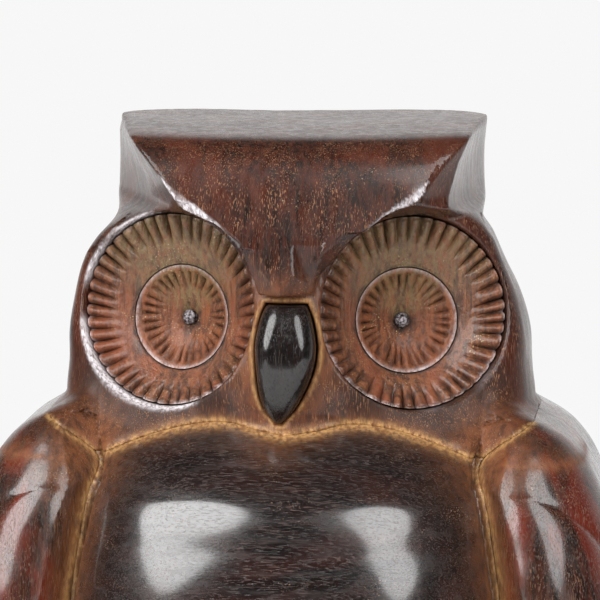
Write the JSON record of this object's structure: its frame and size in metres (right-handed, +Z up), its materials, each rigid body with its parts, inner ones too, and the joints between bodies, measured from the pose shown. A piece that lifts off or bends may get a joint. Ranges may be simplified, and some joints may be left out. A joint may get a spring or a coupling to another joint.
{
  "type": "owl figurine",
  "caption": "Squat carved hardwood owl standing upright, with a flat crown, fluted dish eyes, small beak, domed breast and folded wings.",
  "frame": {"origin": "on the floor, at the middle of the whole object's width and depth", "axes": "+Z up, the owl faces along -Y, +X is to the right of someone looking at its face"},
  "size_m": [0.1176, 0.0878, 0.165],
  "materials": {
    "wood_block": "dark reddish brown hardwood under clear lacquer, orange-brown in the carved hollows",
    "wood_breast": "near-black hardwood, high gloss, grain across",
    "wood_wing": "dark red-brown hardwood, high gloss, grain upright",
    "wood_eye": "orange-brown gouged wood, satin",
    "wood_iris": "orange-brown gouged wood, satin",
    "wood_beak": "black-brown, polished",
    "wood_foot": "black-brown, polished",
    "pin_steel": "dull round-headed brad",
    "dowel_wood": "plain beech, unfinished"
  },
  "bodies": {
    "root": {"body_block": "wood_block", "breast_panel": "wood_breast", "wing_left": "wood_wing", "wing_right": "wood_wing", "wing_dowel_left_upper": "dowel_wood", "wing_dowel_left_lower": "dowel_wood", "wing_dowel_right_upper": "dowel_wood", "wing_dowel_right_lower": "dowel_wood", "breast_dowel_upper": "dowel_wood", "breast_dowel_lower": "dowel_wood", "eye_ring_left": "wood_eye", "eye_ring_right": "wood_eye", "iris_left": "wood_iris", "iris_right": "wood_iris", "pupil_pin_left": "pin_steel", "pupil_pin_right": "pin_steel", "beak": "wood_beak", "foot_left": "wood_foot", "foot_right": "wood_foot", "foot_dowel_left": "dowel_wood", "foot_dowel_right": "dowel_wood"}
  },
  "joints": []
}
